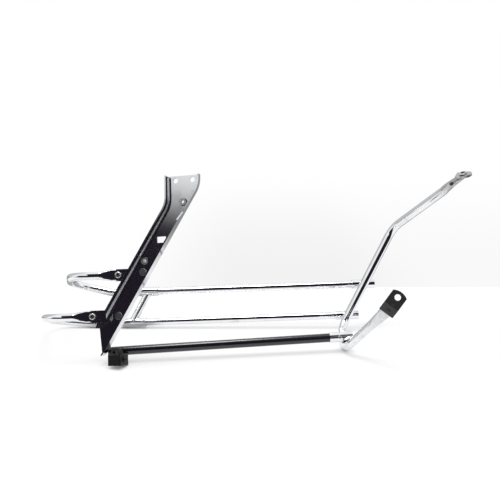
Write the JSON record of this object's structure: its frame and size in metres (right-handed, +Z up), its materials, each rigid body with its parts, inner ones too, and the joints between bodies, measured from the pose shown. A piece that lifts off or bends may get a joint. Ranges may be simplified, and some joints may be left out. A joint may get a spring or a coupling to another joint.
{
  "type": "saddlebag guard",
  "caption": "Chrome tube guard for a motorcycle saddlebag, with looped side rails, a front hoop, a pressed rear stay and a black lower bar.",
  "frame": {"origin": "centre of the bounding box at the table, with the guard lying as in the picture", "axes": "+X along the rails towards the front hoop, +Y away from the machine, +Z up from the table"},
  "size_m": [0.786, 0.2511, 0.3247],
  "materials": {
    "tube_chrome": "polished chrome plate",
    "stay_chrome": "chrome plate over pressed sheet",
    "black_enamel": "gloss black enamel",
    "black_steel": "satin black paint",
    "rubber": "matt black rubber",
    "dark_rivet": "dull dark steel",
    "zinc_steel": "bright zinc plate"
  },
  "bodies": {
    "root": {"rear_stay": "stay_chrome", "upper_rail": "tube_chrome", "lower_rail": "tube_chrome", "upper_sleeve": "tube_chrome", "lower_sleeve": "tube_chrome", "upper_collar": "tube_chrome", "lower_collar": "tube_chrome", "rear_brace": "tube_chrome", "front_hoop": "tube_chrome", "tip_nut": "zinc_steel", "lower_bar": "black_enamel", "bar_socket": "tube_chrome", "socket_rivet": "zinc_steel", "front_tab": "black_steel", "tab_rivet": "black_steel", "stay_nut": "zinc_steel", "stay_rivet_nut": "zinc_steel", "upper_stay_rivet": "dark_rivet", "lower_stay_rivet": "dark_rivet", "foot_bracket": "black_steel", "foot_bolt": "black_steel", "foot_bush": "rubber", "upper_ear": "stay_chrome", "upper_ear_bolt": "zinc_steel", "upper_ear_washer": "zinc_steel", "upper_ear_nut": "zinc_steel", "lower_ear": "stay_chrome", "lower_ear_bolt": "zinc_steel", "lower_ear_washer": "zinc_steel", "lower_ear_nut": "zinc_steel"}
  },
  "joints": []
}
